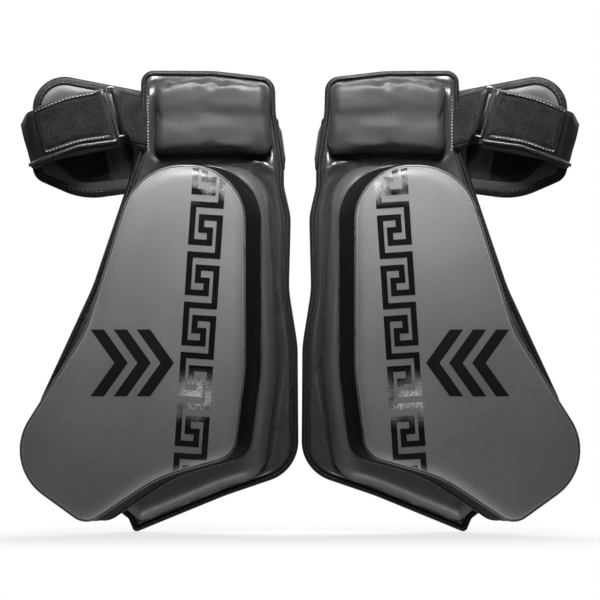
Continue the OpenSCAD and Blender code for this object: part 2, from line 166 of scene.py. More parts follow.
def moved_in(corners, d):
    """The same corners moved inwards by d, with their radii to suit."""
    n = len(corners)
    flat = [np.array(c[:2], float) for c in corners]
    side = math.copysign(1, sum(cross2(flat[i], flat[(i + 1) % n]) for i in range(n)))
    result = []
    for i in range(n):
        before = unit(flat[i] - flat[i - 1])
        after = unit(flat[(i + 1) % n] - flat[i])
        m = side * np.array((-before[1], before[0]))
        q = side * np.array((-after[1], after[0]))
        bulge = side * math.copysign(1, cross2(before, after))
        at = flat[i] + d * (m + q) / (1 + m @ q)
        result.append((at[0], at[1], max(0.4, corners[i][2] - bulge * d)))
    return result


def outline(corners, d=0.0, step=4.0, origin=None):
    """Outline inset by d, with points about a step apart that match those of every other inset."""
    whole = rounded(corners)
    inset = rounded(moved_in(corners, d)) if d else whole
    lengths = np.linalg.norm(np.roll(whole, -1, 0) - whole, axis=1)
    points = []
    for i, length in enumerate(lengths):
        pieces = max(1, math.ceil(length / step))
        a, b = inset[i], inset[(i + 1) % len(inset)]
        points.extend(a + (b - a) * j / pieces for j in range(pieces))
    return np.array(points) + (ORIGIN if origin is None else origin)


def distance(points, loop):
    """Distance of each point from a closed loop."""
    a, b = loop, np.roll(loop, -1, 0)
    ab = b - a
    size = np.maximum((ab**2).sum(1), 1e-12)
    found = []
    for part in np.array_split(points, max(1, len(points) // 1500)):
        ap = part[:, None, :] - a[None]
        t = np.clip((ap * ab).sum(-1) / size, 0, 1)
        found.append(np.linalg.norm(ap - t[..., None] * ab, axis=-1).min(1))
    return np.concatenate(found)


def inside(points, loop):
    """Whether each point lies inside a closed loop."""
    a, b = loop, np.roll(loop, -1, 0)
    x, z = points[:, :1], points[:, 1:]
    crosses = (a[:, 1] > z) != (b[:, 1] > z)
    rise = np.where(a[:, 1] == b[:, 1], 1e-9, b[:, 1] - a[:, 1])
    at = a[:, 0] + (z - a[:, 1]) / rise * (b[:, 0] - a[:, 0])
    return (crosses & (x < at)).sum(1) % 2 == 1


def smooth(t):
    """A soft step from 0 at t = 0 to 1 at t = 1."""
    t = np.clip(t, 0, 1)
    return t * t * (3 - 2 * t)


def wobble(points, across, along, seed):
    """Smooth noise, about -1 to 1, at wavelengths across x and along z."""
    return np.array([
        noise.noise((p[0] / across, seed, p[1] / along)) for p in points
    ])


def spline(points, steps=8):
    """Smooth open curve through points."""
    p = np.array(points, float)
    p = np.vstack([2 * p[0] - p[1], p, 2 * p[-1] - p[-2]])
    curve = []
    for i in range(1, len(p) - 2):
        a, b, c, d = p[i - 1:i + 3]
        for j in range(steps):
            t = j / steps
            curve.append((
                2 * b + (c - a) * t + (2 * a - 5 * b + 4 * c - d) * t**2
                + (3 * b - a - 3 * c + d) * t**3
            ) / 2)
    curve.append(p[-2])
    return np.array(curve)


def lengths_along(line):
    """Length of an open line up to each of its points."""
    return np.concatenate([[0], np.cumsum(np.linalg.norm(np.diff(line, axis=0), axis=1))])


def resampled(line, step):
    """The same open line with evenly spaced points."""
    lengths = lengths_along(line)
    count = max(2, round(lengths[-1] / step) + 1)
    at = np.linspace(0, lengths[-1], count)
    return np.stack([np.interp(at, lengths, line[:, k]) for k in range(line.shape[1])], 1)


# ---------------- places taken from the frame

def level(node, side, axis=1):
    """One side of a right-hand CAD node's box, in mm; side 0 is the low one."""
    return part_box("right_" + node)[side][axis] / MM


BASE_EDGE = rounded(BASE)
# World place, in mm, of the outlines' own (0, 0)
ORIGIN = np.array((
    level("base_binding", 1, 0) - BASE_EDGE[:, 0].max(),
    level("base_binding", 0, 2) - BASE_EDGE[:, 1].min(),
))
# Depths, in mm. The cuff's centre lines start from the panel's back.
BASE_BACK = level("back_liner", 1)
STEP_BACK = level("step_cover", 1)
STEP_FRONT = level("step_cover", 0)
BLOCK_BACK = level("strike_gusset", 1)
SEAM = level("strike_face", 1)
FRONT = level("strike_face", 0)
HIP_FRONT = level("hip_cover", 0)
# How far the block's foot lies inboard of its seam, and the depth where the panel's two leathers meet
LEAN = 17.5
MIDDLE = 18.5
# Spacing of the points on big flat sides that lie hidden between two pieces
HIDDEN = 14.0


# ---------------- mesh building

class Skin:
    """Vertices in millimetres and faces of one right-hand piece."""

    def __init__(self):
        self.v = []
        self.f = []

    def points(self, points):
        start = len(self.v)
        self.v.extend(tuple(float(c) for c in p) for p in points)
        return start

    def rings(self, rings, wrap=False, closed=True):
        """Quads between rings of equal length; wrap joins the last ring to the first."""
        n = len(rings[0])
        starts = [self.points(r) for r in rings]
        pairs = list(zip(starts, starts[1:]))
        if wrap:
            pairs.append((starts[-1], starts[0]))
        for a, b in pairs:
            for j in range(n if closed else n - 1):
                k = (j + 1) % n
                self.f.append((a + j, a + k, b + k, b + j))
        return starts

    def capped(self, rings):
        """A closed form through rings, with a face at each end."""
        starts = self.rings(rings)
        for start in (starts[0], starts[-1]):
            self.f.append(tuple(range(start, start + len(rings[0]))))

    def fill(self, loop, height, spacing=4.0):
        """Even triangles inside a loop of [x, z], at a height that suits standing()."""
        low, high = loop.min(0), loop.max(0)
        rows = np.arange(low[1], high[1], spacing * 0.866)
        grid = np.array([
            (x + (i % 2) * spacing / 2, z)
            for i, z in enumerate(rows)
            for x in np.arange(low[0], high[0], spacing)
        ])
        grid = grid[inside(grid, loop)]
        grid = grid[distance(grid, loop) > spacing * 0.6]
        n = len(loop)
        made = geometry.delaunay_2d_cdt(
            [Vector(p) for p in np.vstack([loop, grid])],
            [(i, (i + 1) % n) for i in range(n)], [], 1, 1e-6,
        )
        flat = np.array([tuple(p) for p in made[0]])
        start = self.points(standing(flat, height))
        self.f.extend(tuple(start + i for i in face) for face in made[2])

    def tube(self, line, radius, sides=10, closed=True):
        """Round tube along a line of 3-D points."""
        line = np.array(line, float)
        if closed:
            ahead, behind = np.roll(line, -1, 0), np.roll(line, 1, 0)
        else:
            ahead = np.vstack([line[1:], line[-1:]])
            behind = np.vstack([line[:1], line[:-1]])
        along = ahead - behind
        along /= np.linalg.norm(along, axis=1)[:, None]
        side = np.cross(along, (0, 1, 0))
        side /= np.maximum(np.linalg.norm(side, axis=1), 1e-9)[:, None]
        up = np.cross(side, along)
        rings = []
        for j in range(sides):
            a = 2 * math.pi * j / sides
            rings.append(line + radius * (math.cos(a) * side + math.sin(a) * up))
        starts = self.rings(rings, wrap=True, closed=closed)
        if not closed:
            self.f.append(tuple(starts))
            self.f.append(tuple(s + len(line) - 1 for s in reversed(starts)))
        return self

    def stitches(self, line, pitch=4.6, length=3.0, radius=0.42, closed=True):
        """A row of short threads along a line of 3-D points."""
        line = np.array(line, float)
        if closed:
            line = np.vstack([line, line[:1]])
        cuts = lengths_along(line)
        for at in np.arange(pitch / 2, cuts[-1] - length / 2, pitch):
            a, m, b = (
                np.array([np.interp(at + s, cuts, line[:, k]) for k in range(3)])
                for s in (-length / 2, 0, length / 2)
            )
            self.thread(a, m, b, radius)
        return self

    def thread(self, a, m, b, radius):
        """One stitch: a bead that dives in at both of its ends."""
        along = unit(b - a)
        side = unit(np.cross(along, (0.3, 1, 0.2)))
        up = np.cross(side, along)
        rings = []
        for t, share in ((-1, 0.35), (-0.6, 0.9), (0, 1.05), (0.6, 0.9), (1, 0.35)):
            centre = m + (m - a if t < 0 else b - m) * t
            rings.append([
                centre + radius * share * (math.cos(q) * side + math.sin(q) * up)
                for q in np.arange(6) * math.pi / 3
            ])
        self.capped(rings)


def standing(flat, y):
    """3-D points from points [x, z] and a depth, a depth for each, or a function that gives them."""
    y = y(flat) if callable(y) else y
    return np.stack([flat[:, 0], np.broadcast_to(y, len(flat)), flat[:, 1]], 1)


def ring_of(corners, d, y):
    """Outline inset by d, standing at y."""
    return standing(outline(corners, d), y)


def plate(corners, insets, surface, behind, spacing=4.0, back=None, coarse=None):
    """Closed sheet with a surface over its outline and a plain side behind, at an inset of its own."""
    back = insets[0] if back is None else back
    skin = Skin()
    skin.rings([ring_of(corners, back, behind)] + [ring_of(corners, d, surface) for d in insets])
    skin.fill(outline(corners, insets[-1]), surface, spacing)
    skin.fill(outline(corners, back), behind, coarse or spacing * 2)
    return skin


def cushion(corners, sections, spacing):
    """Closed form through an outline's insets and their depths, flat at both ends."""
    skin = Skin()
    skin.rings([ring_of(corners, d, y) for d, y in sections])
    for d, y in (sections[-1], sections[0]):
        skin.fill(outline(corners, d), y, spacing)
    return skin


def mesh_of(skin, name):
    """A mesh in metres, with its doubled points merged and its faces turned outwards."""
    mesh = bpy.data.meshes.new(name)
    mesh.from_pydata([tuple(c * MM for c in p) for p in skin.v], [], skin.f)
    bm = bmesh.new()
    bm.from_mesh(mesh)
    bmesh.ops.remove_doubles(bm, verts=bm.verts, dist=0.01 * MM)
    bmesh.ops.recalc_face_normals(bm, faces=bm.faces)
    bm.to_mesh(mesh)
    bm.free()
    mesh.update()
    return mesh


def placed(name, data):
    """A new object of the scene."""
    obj = bpy.data.objects.new(name, data)
    bpy.context.scene.collection.objects.link(obj)
    return obj


def piece(name, body, slot, shape, nodes=(), sharp=None, bend=None):
    """Puts one piece on each side, from a Skin or from a right-hand mesh.

    The piece wears the material of a slot and stands in for the CAD nodes given, or for the one of its
    own name. It rides on a body, or, given bend, is left unattached where it was built.
    """
    if not nodes and "right_" + name in CAD_NODES:
        nodes = [name]
    mesh = mesh_of(shape, "right_" + name) if isinstance(shape, Skin) else shape
    mesh.materials.clear()
    mesh.materials.append(MATERIALS[slot])
    mesh.shade_smooth()
    if sharp:
        mesh.set_sharp_from_angle(angle=math.radians(sharp))
    mirrored = mesh.copy()
    mirrored.transform(Matrix.Diagonal((-1, 1, 1, 1)))
    mirrored.flip_normals()
    for side, way, data in (("right", 1, mesh), ("left", -1, mirrored)):
        obj = placed(f"{side}_{name}_skin", data)
        if bend:
            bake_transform(obj)
        else:
            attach(obj, f"{side}_{body}")
        if nodes:
            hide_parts(*[f"{side}_{n}" for n in nodes])


# ---------------- materials

MATERIALS = {}


class Shader:
    """A node material under construction; textures use the object's own coordinates, in metres."""

    def __init__(self, name):
        self.material = MATERIALS[name] = bpy.data.materials.new(name)
        self.material.use_nodes = True
        self.tree = self.material.node_tree
        self.bsdf = self.tree.nodes["Principled BSDF"]
        self.place = self.node("TexCoord").outputs["Object"]
        self.normal = None

    def put(self, socket, value):
        if isinstance(value, bpy.types.NodeSocket):
            self.tree.links.new(value, socket)
        else:
            socket.default_value = value

    def node(self, kind, inputs=(), **settings):
        made = self.tree.nodes.new("ShaderNode" + kind)
        for key, value in settings.items():
            setattr(made, key, value)
        for key, value in dict(inputs).items():
            self.put(made.inputs[key], value)
        return made

    def stretched(self, *scale):
        return self.node("Mapping", {"Vector": self.place, "Scale": scale}).outputs[0]

    def noise(self, scale, detail=3.0, place=None, roughness=0.55, distortion=0.0):
        return self.node("TexNoise", {
            "Vector": place or self.place, "Scale": scale, "Detail": detail,
            "Roughness": roughness, "Distortion": distortion,
        }).outputs[0]

    def cells(self, scale, place=None):
        return self.node("TexVoronoi", {
            "Vector": place or self.place, "Scale": scale,
        }, feature="DISTANCE_TO_EDGE").outputs["Distance"]

    def span(self, value, low, high, to_low=0.0, to_high=1.0, kind="LINEAR"):
        return self.node("MapRange", {
            "Value": value, "From Min": low, "From Max": high,
            "To Min": to_low, "To Max": to_high,
        }, interpolation_type=kind).outputs[0]

    def maths(self, operation, a, b=0.0):
        return self.node("Math", {0: a, 1: b}, operation=operation).outputs[0]

    def mixed(self, factor, a, b):
        return self.node("Mix", {0: factor, 6: a, 7: b}, data_type="RGBA").outputs[2]

    def bump(self, height, strength, depth):
        inputs = {"Height": height, "Strength": strength, "Distance": depth}
        if self.normal:
            inputs["Normal"] = self.normal
        self.normal = self.node("Bump", inputs).outputs[0]

    def finish(self, **values):
        for key, value in values.items():
            self.put(self.bsdf.inputs[key.replace("_", " ")], value)
        if self.normal:
            self.put(self.bsdf.inputs["Normal"], self.normal)


def grey(value, warm=0.0):
    """A linear grey, warmer for a positive warm."""
    return (value * (1 + warm), value, value * (1 - warm), 1.0)


def leather(name, tone, rough, grain=800.0, grain_depth=0.25, crinkle=0.0, crinkle_scale=55.0,
            warm=0.0, specular=0.5, wear=0.35, coat=0.0):
    """Coated leather: pebbled grain, patches of tone, optional crinkles, rubbed convex edges."""
    s = Shader(name)
    patches = s.noise(7.0, 4.0)
    specks = s.noise(grain * 0.6, 2.0)
    body = s.mixed(s.span(patches, 0.3, 0.7), grey(tone * 0.82, warm), grey(tone * 1.18, warm))
    body = s.mixed(s.span(specks, 0.35, 0.75, 0.0, 0.35), body, grey(tone * 0.6, warm))
    edge_rub = s.span(s.node("NewGeometry").outputs["Pointiness"], 0.53, 0.62, 0.0, wear)
    body = s.mixed(edge_rub, body, grey(min(1.0, tone * 2.6 + 0.02), warm))
    if crinkle:
        s.bump(s.noise(crinkle_scale, 2.0), crinkle, 0.004)
    s.bump(s.cells(grain), grain_depth, 0.0004)
    s.bump(specks, grain_depth * 0.6, 0.0003)
    smear = s.noise(34.0, 4.0)
    s.finish(
        Base_Color=body, Roughness=s.span(smear, 0.3, 0.7, rough * 0.85, rough * 1.15),
        Specular_IOR_Level=specular, Coat_Weight=coat, Coat_Roughness=0.2,
    )


def pile(name, dark, light, scale=520.0, lean=1.0):
    """Loop fabric: speckled slanting pile with a dusty sheen."""
    s = Shader(name)
    slant = s.node("Mapping", {
        "Vector": s.place, "Rotation": (0.0, 0.6 * lean, 0.0), "Scale": (1.0, 1.0, 0.8),
    }).outputs[0]
    tufts = s.noise(scale, 2.0, place=slant, roughness=0.7)
    knots = s.cells(scale * 0.7, place=slant)
    blotches = s.noise(60.0, 3.0)
    fleck = s.span(s.maths("MULTIPLY", tufts, s.span(blotches, 0.2, 0.8, 0.85, 1.2)), 0.42, 0.68)
    body = s.mixed(fleck, grey(dark), grey(light))
    s.bump(tufts, 0.8, 0.0012)
    s.bump(knots, 0.5, 0.0006)
    s.finish(
        Base_Color=body, Roughness=0.9, Specular_IOR_Level=0.12,
        Sheen_Weight=0.06, Sheen_Roughness=0.4,
    )


def foil(name, tone, rough, specular, painted_glint=0.0):
    """Printed vinyl, orange-peel surfaced; a glint amount above 0 paints speckled highlights into its
    colour, in two bands at fixed heights.
    """
    s = Shader(name)
    peel = s.noise(480.0, 2.0, roughness=0.7)
    painted_glint_speckle = s.span(s.noise(1100.0, 2.0, roughness=0.8), 0.42, 0.58, 0.15, 1.0)
    height = s.node("SeparateXYZ", {0: s.place}).outputs[2]
    body = grey(tone)
    if painted_glint:
        # Painted highlight: light speckles in two bands at fixed heights, where the lamps' reflection
        # falls on the print.
        patches = s.maths("ADD", bell(s, height, 0.147, 0.034), bell(s, height, 0.376, 0.022))
        patches = s.maths("MULTIPLY", patches, s.span(s.noise(26.0, 2.0), 0.36, 0.66))
        painted_glint_amount = s.maths("MULTIPLY", s.maths("MULTIPLY", patches, painted_glint_speckle), painted_glint)
        body = s.mixed(painted_glint_amount, grey(tone), grey(0.7))
    s.bump(peel, 0.35, 0.0005)
    s.finish(Base_Color=body, Roughness=rough, Specular_IOR_Level=specular)


def bell(s, value, centre, width):
    """A soft hump, 1 at the centre and 0 a width away."""
    away = s.maths("ABSOLUTE", s.maths("SUBTRACT", value, centre))
    return s.span(away, 0.0, width, 1.0, 0.0, "SMOOTHSTEP")


def thread(name, tone):
    """Twisted thread."""
    s = Shader(name)
    twist = s.noise(900.0, 1.0, place=s.stretched(1.0, 1.0, 0.4))
    s.bump(twist, 0.6, 0.0003)
    body = s.mixed(s.span(twist, 0.35, 0.65), grey(tone * 0.6), grey(tone))
    s.finish(Base_Color=body, Roughness=0.6)


def metal(name):
    """Polished nickel wire with fine brushed scratches and small tarnished spots."""
    s = Shader(name)
    scratches = s.noise(300.0, 2.0, place=s.stretched(6.0, 6.0, 0.5))
    tarnish = s.noise(90.0, 4.0)
    s.bump(scratches, 0.08, 0.0002)
    body = s.mixed(s.span(tarnish, 0.5, 0.75), (0.16, 0.16, 0.17, 1.0), (0.07, 0.07, 0.07, 1.0))
    s.finish(
        Base_Color=body, Metallic=1.0, Roughness=s.span(scratches, 0.3, 0.7, 0.24, 0.4),
    )


def netting(name):
    """Knitted non-slip mesh of small open cells."""
    s = Shader(name)
    holes = s.cells(260.0)
    wire = s.span(holes, 0.04, 0.2)
    s.bump(wire, 0.9, 0.001)
    body = s.mixed(wire, grey(0.055), grey(0.008))
    s.finish(Base_Color=body, Roughness=0.75, Sheen_Weight=0.2)


leather("matte_leather", 0.135, 0.5, 1100.0, 0.16, wear=0.05, specular=0.32)
leather("gloss_leather", 0.02, 0.3, 700.0, 0.12, crinkle=0.12, warm=-0.02, coat=0.08)
leather("step_leather", 0.046, 0.38, 700.0, 0.12, crinkle=0.04, coat=0.1)
leather("gusset_leather", 0.003, 0.45, 700.0, 0.15, specular=0.3)
leather(
    "hip_leather", 0.018, 0.52, 700.0, 0.2, crinkle=0.12, crinkle_scale=42.0, wear=0.05, specular=0.34,
)
leather("lining_leather", 0.035, 0.44, 800.0, 0.2, crinkle=0.04)
leather("strap_leather", 0.006, 0.42, 650.0, 0.3, warm=0.1, crinkle=0.05, wear=0.12, specular=0.35)
leather("binding_tape", 0.004, 0.5, 900.0, 0.25, wear=0.1, specular=0.22)
leather("piping", 0.05, 0.3, 900.0, 0.15)
netting("back_mesh")
pile("loop_fabric", 0.003, 0.026, 1100.0)
pile("hook_tape", 0.004, 0.03, 900.0, -1.0)
# The gloss print gets painted highlights in its colour.
foil("gloss_print", 0.005, 0.22, 0.2, painted_glint=1.0)
foil("matte_print", 0.005, 0.6, 0.12)
metal("ring_steel")
thread("pale_thread", 0.42)
thread("grey_thread", 0.05)


# ---------------- shared shapes

BASE_LOOP = outline(BASE)
STEP_LOOP = outline(STEP)
FACE_LOOP = outline(FACE)
HIP_LOOP = outline(HIP)
# Soft folds in the panel's leather, (x, z) to (x, z) with half-width and height
FOLDS = [
    (-39, 408, -20, 378, 4.4, 3.4), (-46, 403, -15, 391, 3.8, 2.8), (-70, 405, -34, 400, 3.2, 1.6),
    (-25, 404, -13, 352, 4.0, 3.0), (-33, 384, -18, 366, 3.4, 2.4), (-13, 372, -10, 330, 3.4, 1.8),
    (-17, 340, -12, 255, 4.4, 1.5), (-13, 250, -9, 150, 4.6, 1.3), (-12, 160, -10, 80, 4.4, 1.2),
    (-166, 430, -163, 405, 3.0, 1.5),
    (-170, 470, -165, 415, 3.0, 0.9),
]


def ridges(points, folds):
    """Height of soft folds, each fading towards its ends."""
    total = np.zeros(len(points))
    for x0, z0, x1, z1, width, height in folds:
        a, b = np.array((x0, z0)) + ORIGIN, np.array((x1, z1)) + ORIGIN
        t = np.clip((points - a) @ (b - a) / ((b - a) @ (b - a)), 0, 1)
        away = np.linalg.norm(points - a - t[:, None] * (b - a), axis=1)
        total += height * np.exp(-(away / width) ** 2) * np.sin(math.pi * (0.08 + 0.84 * t)) ** 0.7
    return total


def base_depth(points):
    """Depth of the panel's front leather: pinched under the tape, in creases beside the blocks."""
    d = distance(points, BASE_LOOP)
    free = smooth((d - 5) / 6) * (1 - 0.75 * smooth((points[:, 1] - ORIGIN[1] - 474) / 14))
    y = 15.2 - 6.4 * free
    for loop, width, sink in ((STEP_LOOP, 4.5, 3.0), (HIP_LOOP, 5.0, 3.5)):
        away = np.where(inside(points, loop), 0, distance(points, loop))
        y = y + sink * free * np.exp(-(away / width) ** 2)
    outer = smooth((ORIGIN[0] - 150 - points[:, 0]) / 20)
    y -= free * ridges(points, FOLDS)
    y += free * 1.3 * wobble(points, 14, 75, 3.1)
    y += free * 0.25 * wobble(points, 10, 24, 5.3)
    y += smooth((d - 5) / 4) * outer * 0.9 * wobble(points, 7, 8, 9.4)
    return y


ROLL, FACE_INSET = 15.0, 1.0


def rolled_off(d, reach):
    """How far a quarter-round edge has dropped: 1 at the outline, 0 from its reach on."""
    share = 1 - np.clip(d / reach, 0, 1)
    return 1 - np.sqrt(np.clip(1 - share**2, 0, 1))


def face_depth(points, d=None):
    """Depth of the strike face: rolled edges, a slight crown, and a foot that falls away outboard."""
    d = distance(points, FACE_LOOP) - FACE_INSET if d is None else d
    x, z = (points - ORIGIN).T
    flare = smooth((-150 - x) / 170) * smooth((300 - z) / 260)
    top = smooth((z - 250) / 150)
    y = FRONT + 0.6 + 9.5 * flare + 3.0 * top + 1.8 * np.exp(-np.maximum(d, 0) / 22)
    y += 0.35 * wobble(points, 80, 90, 1.7)
    return y + (SEAM - y) * rolled_off(d, ROLL)


def rolled_rings(corners, first, reach, surface, steps=9):
    """Rings that follow a quarter-round edge from the outline inwards."""
    rings = []
    for i in range(steps + 1):
        d = reach * (1 - math.cos(math.pi / 2 * i / steps))
        flat = outline(corners, first + d)
        rings.append(standing(flat, surface(flat, np.full(len(flat), d))))
    return rings


# ---------------- base panel

def build_base():
    insets = (2.0, 4.0, 5.4, 7.0, 9.0, 11.0, 13.0)
    cover = plate(BASE, insets, base_depth, MIDDLE, 3.2, 1.8, HIDDEN)
    piece("base_cover", "shield", "gloss_leather", cover, ["base_cover", "base_foam"])

    def back_depth(points):
        d = distance(points, BASE_LOOP)
        return BASE_BACK - 2.2 * (1 - smooth((d - 5) / 8)) + 0.25 * wobble(points, 40, 30, 2.2)

    liner = plate(BASE, (2.2, 6.0, 9.0, 13.0), back_depth, MIDDLE + 0.1, 5.0, 1.8, HIDDEN)
    piece("back_liner", "shield", "lining_leather", liner)

    tape = [
        (5.4, 14.6), (5.1, 13.3), (3.8, 12.7), (2.0, 12.9), (0.8, 13.9), (0.2, 15.8), (0.0, MIDDLE),
        (0.2, 21.2), (1.0, 23.2), (2.6, 24.0), (5.0, 24.1), (7.0, 23.8), (7.4, 22.6),
        (6.8, 22.0), (2.6, 22.2), (1.6, MIDDLE), (2.2, 15.0), (4.9, 15.1),
    ]
    skin = Skin()
    rings = []
    for d, y in tape:
        flat = outline(BASE, d)
        pucker = 0.35 * wobble(flat, 9, 9, 4.0 + d) if d < 5.0 else 0.0
        rings.append(standing(flat, y + pucker * (0.6 if y < MIDDLE else 0.2)))
    skin.rings(rings, wrap=True)
    piece("base_binding", "shield", "binding_tape", skin)

    skin = Skin()
    for d, y in ((3.7, 12.75), (5.4, 24.2), (6.6, lambda row: base_depth(row) - 0.1)):
        skin.stitches(ring_of(BASE, d, y), 5.0, 3.4, 0.3)
    piece("base_stitches", "shield", "grey_thread", skin)


# ---------------- hip cushion and back pad

def evaluated(obj):
    """The object with its modifiers worked out."""
    return obj.evaluated_get(bpy.context.evaluated_depsgraph_get())


def settled(skin, name, voxel, pressure, limit, pinned, details):
    """Puffs a closed form up with a cloth simulation and returns its mesh."""
    scene = bpy.context.scene
    obj = placed(name, mesh_of(skin, name))
    remesh = obj.modifiers.new("even", "REMESH")
    remesh.mode = "VOXEL"
    remesh.voxel_size = voxel * MM
    obj.data = bpy.data.meshes.new_from_object(evaluated(obj))
    obj.modifiers.clear()
    rest = np.array([v.co for v in obj.data.vertices]) / MM
    group = obj.vertex_groups.new(name="sewn")
    group.add([i for i, p in enumerate(rest) if pinned(p)], 1.0, "REPLACE")
    cloth = obj.modifiers.new("cloth", "CLOTH").settings
    cloth.quality = 6
    cloth.tension_stiffness = 18
    cloth.compression_stiffness = 8
    cloth.bending_stiffness = 0.6
    cloth.use_pressure = True
    cloth.uniform_pressure_force = pressure
    cloth.effector_weights.gravity = 0
    cloth.vertex_group_mass = "sewn"
    cloth.shrink_min = -0.03
    for number in range(1, 21):
        scene.frame_set(number)
    puffed = np.array([v.co for v in evaluated(obj).data.vertices]) / MM
    obj.modifiers.clear()
    scene.frame_set(1)
    moved = puffed - rest
    far = np.linalg.norm(moved, axis=1)[:, None]
    rest = rest + moved * np.minimum(1, limit / np.maximum(far, 1e-6))
    rest = details(rest)
    obj.data.vertices.foreach_set("co", (rest * MM).astype(np.float32).ravel())
    obj.data.update()
    finer = obj.modifiers.new("finer", "SUBSURF")
    finer.levels = finer.render_levels = 1
    mesh = bpy.data.meshes.new_from_object(evaluated(obj))
    bpy.data.objects.remove(obj)
    return mesh


def build_hip():
    front = HIP_FRONT + 5.0
    skin = cushion(HIP, [
        (1.2, STEP_BACK + 3), (0.8, STEP_BACK - 4), (1.4, front + 9), (4.5, front + 3), (9, front),
    ], 8.0)

    def details(p):
        flat = p[:, [0, 2]]
        d = distance(flat, HIP_LOOP)
        face = smooth((STEP_BACK - 6 - p[:, 1]) / 12)
        low, high = HIP_LOOP.min(0), HIP_LOOP.max(0)
        up = (flat[:, 1] - low[1]) / (high[1] - low[1])
        across = (flat[:, 0] - low[0]) / (high[0] - low[0])
        waves = 0.9 * wobble(flat, 70, 17, 6.6) + 0.4 * wobble(flat, 22, 9, 8.1)
        channel = 1.3 * np.exp(-((up - 0.47 - 0.06 * np.sin(5 * across)) / 0.12) ** 2)
        ledge = 0.8 * np.exp(-((up - 0.86) / 0.08) ** 2)
        dent = 2.6 * np.exp(-((across - 0.9) / 0.09) ** 2 - ((up - 0.1) / 0.14) ** 2)
        q = p.copy()
        q[:, 1] += face * smooth(d / 10) * (waves + channel + ledge + dent)
        return q

    mesh = settled(skin, "hip", 3.2, 5.0, 2.2, lambda p: p[1] > STEP_BACK - 1.5, details)
    piece("hip_cushion", "shield", "hip_leather", mesh, ["hip_cover", "hip_foam"])

    border = outline(HIP, -6.0)
    x, z = (border - ORIGIN).T
    outer = border[(x < -150) & (z > 414) & (z < 478)]
    outer = outer[np.argsort(outer[:, 1])]
    row = standing(outer, lambda p: base_depth(p) - 0.1)
    piece("hip_stitches", "shield", "pale_thread", Skin().stitches(row, 3.4, 1.9, 0.55, closed=False))


def build_rear_pad():
    back = level("rear_pad", 1)
    start = BASE_BACK + 0.2
    sections = [(2.0, start), (1.2, start + 2), (2.5, back - 3.0), (8.0, back - 1.6)]
    skin = cushion(REAR_PAD, sections, 10.0)
    loop = outline(REAR_PAD)

    def details(p):
        flat = p[:, [0, 2]]
        x, z = (flat - ORIGIN).T
        channels = np.minimum(
            np.abs((x + z * 0.9 + 6) % 62 - 31), np.abs((x - z * 0.9 + 6) % 62 - 31),
        )
        q = p.copy()
        sunk = 2.4 * np.exp(-(channels / 3.0) ** 2) * smooth((distance(flat, loop) - 6) / 8)
        q[:, 1] -= np.where(p[:, 1] > start + 3, sunk, 0)
        q[:, 1] = np.maximum(q[:, 1], start)
        return q

    mesh = settled(skin, "rear", 4.0, 4.0, 2.5, lambda p: p[1] < start + 1.2, details)
    piece("rear_pad", "shield", "back_mesh", mesh)

    welt = Skin().tube(ring_of(REAR_PAD, -0.8, start + 1.4), 1.7, 8)
    piece("rear_pad_welt", "shield", "binding_tape", welt)


# ---------------- strike block

def build_step():
    height = STEP_BACK + 2.5 - STEP_FRONT
    reach = 14.0

    def top(points, d):
        x, z = (points - ORIGIN).T
        low = smooth((110 - z) / 70)
        y = STEP_FRONT + 0.9 * wobble(points, 22, 70, 2.9) + 0.35 * wobble(points, 10, 16, 4.4)
        ripple = 1.1 * wobble(points, 6.5, 17, 6.1) * low * smooth((-110 - x) / 50)
        y += ripple + 3.0 * low * smooth((34 - d) / 30)
        return y

    def surface(points, d=None):
        d = distance(points, STEP_LOOP) if d is None else d
        return top(points, d) + height * rolled_off(d, reach)

    skin = Skin()
    rings = rolled_rings(STEP, 0.0, reach, surface)
    foot = outline(STEP, 0.6)
    skin.rings([standing(foot, rings[0][:, 1] + 1.5)] + rings)
    skin.fill(outline(STEP, reach), surface, 3.4)
    skin.fill(foot, lambda p: surface(p, np.zeros(len(p))) + 1.5, HIDDEN)
    piece("step_cover", "shield", "step_leather", skin, ["step_cover", "step_foam"])


def block_loop(share, d):
    """Outline of the strike block's wall, from its foot at share 0 to the seam at share 1."""
    return outline(FACE, d) + (LEAN * (1 - share), 0)


def build_block():
    front, back = SEAM + 1.6, BLOCK_BACK + 1.5
    rings = []
    for i in range(9):
        share = i / 8
        flat = block_loop(share, -1.3 * math.sin(math.pi * share))
        sway = 0.5 * wobble(flat, 30, 22, 7.0 + share * 2)
        rings.append(standing(flat + sway[:, None] * 0.6, back + (front - back) * share))
    inner = [standing(block_loop(share, 2.5), back + (front - back) * share) for share in (1, 0)]
    skin = Skin()
    skin.rings(rings + inner, wrap=True)
    piece(
        "strike_gusset", "shield", "gusset_leather", skin,
        ["strike_gusset", "strike_core", "strike_soft_foam"],
    )

    welt = Skin().tube(standing(block_loop(0.0, -0.5), BLOCK_BACK + 0.1), 1.0, 8)
    piece("foot_welt", "shield", "gloss_leather", welt)

    skin = Skin()
    rings = rolled_rings(FACE, FACE_INSET, ROLL, face_depth, 11)
    skin.rings([ring_of(FACE, 2.2, SEAM + 2.2)] + rings)
    skin.fill(outline(FACE, FACE_INSET + ROLL), face_depth, 5.0)
    skin.fill(outline(FACE, 2.2), SEAM + 2.2, HIDDEN)
    piece("strike_face", "shield", "matte_leather", skin)

    piping = Skin().tube(ring_of(FACE, 0.3, SEAM + 1.5), 1.75, 10)
    piece("strike_piping", "shield", "piping", piping)
    row = ring_of(FACE, 1.9, lambda p: face_depth(p) - 0.1)
    piece("face_stitches", "shield", "pale_thread", Skin().stitches(row, 3.4, 2.3, 0.36))


# ---------------- prints

